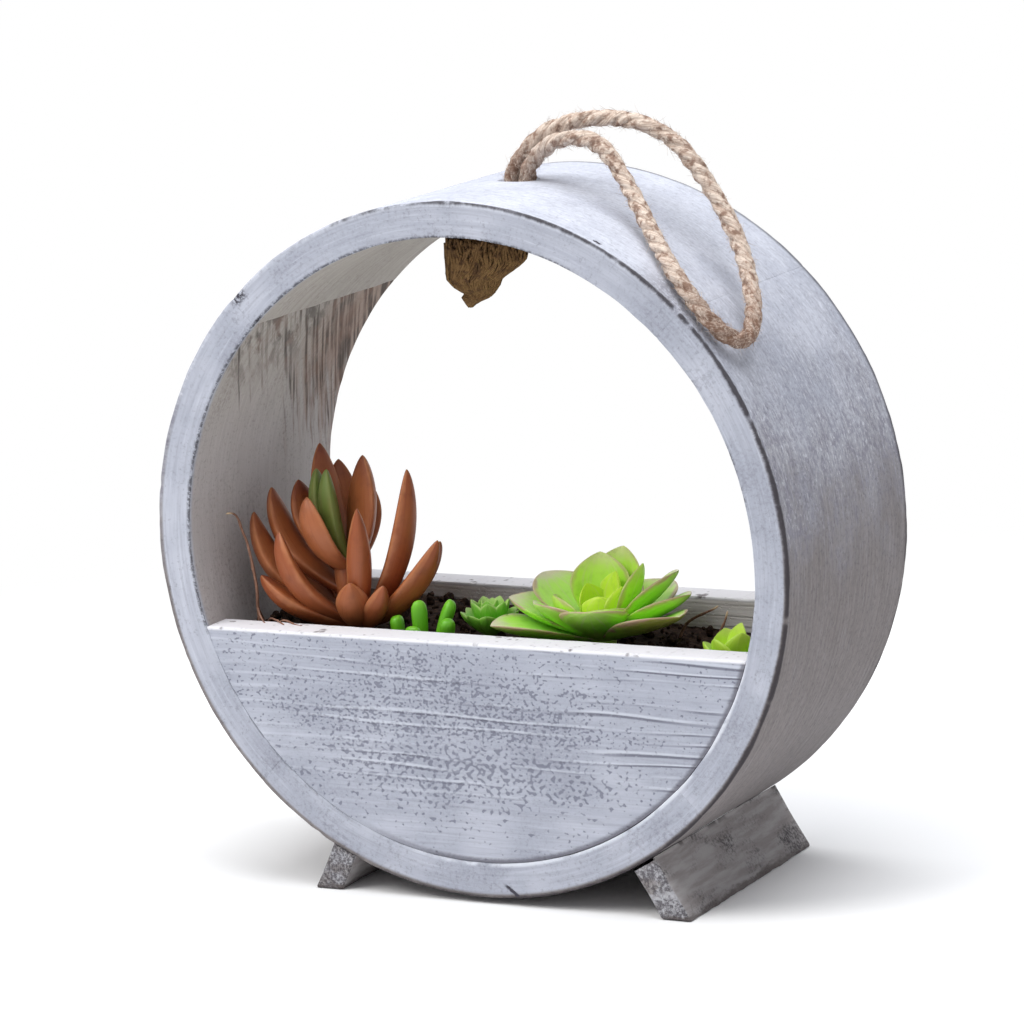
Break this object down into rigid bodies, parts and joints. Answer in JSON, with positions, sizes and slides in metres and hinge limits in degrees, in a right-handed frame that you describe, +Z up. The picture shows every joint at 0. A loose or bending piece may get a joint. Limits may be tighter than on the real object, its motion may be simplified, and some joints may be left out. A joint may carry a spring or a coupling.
{
  "type": "round hanging planter",
  "caption": "Round whitewashed wooden trough planter on splayed feet, with a jute hanging loop, soil and succulents.",
  "frame": {"origin": "on the floor under the middle of the ring, half way between its front and back faces", "axes": "+Z up, +Y from the front board to the back board, +X to the right as seen from the front"},
  "size_m": [0.25, 0.104, 0.2764],
  "materials": {
    "whitewashed_wood": "matte",
    "dowel_wood": "matte",
    "steel": "satin",
    "jute_rope": "matte",
    "rope_knot": "matte",
    "potting_soil": "matte",
    "brown_leaf": "satin",
    "green_leaf": "satin",
    "dry_twig": "matte"
  },
  "bodies": {
    "planter": {"ring_right": "whitewashed_wood", "ring_top": "whitewashed_wood", "ring_left": "whitewashed_wood", "ring_bottom": "whitewashed_wood", "front_board": "whitewashed_wood", "back_board": "whitewashed_wood", "left_foot": "whitewashed_wood", "right_foot": "whitewashed_wood", "seam_dowels": "dowel_wood", "board_pins": "steel", "foot_screws": "steel", "rope_front_stem": "jute_rope", "rope_rear_stem": "jute_rope", "rope_knot": "rope_knot", "rope_tail": "rope_knot", "potting_soil": "potting_soil", "brown_succulent": "brown_leaf", "green_rosette": "green_leaf", "bean_sedum": "green_leaf", "small_tuft": "green_leaf", "lime_sprig": "green_leaf", "dry_twigs": "dry_twig"},
    "rope_loop": {"rope_loop": "jute_rope"}
  },
  "joints": [
    {"name": "loop_lift", "type": "hinge", "parent": "planter", "child": "rope_loop", "pos_m": [0.0046, 0.0085, 0.2649], "axis": [0, -1, 0], "range_deg": [0, 110]}
  ]
}
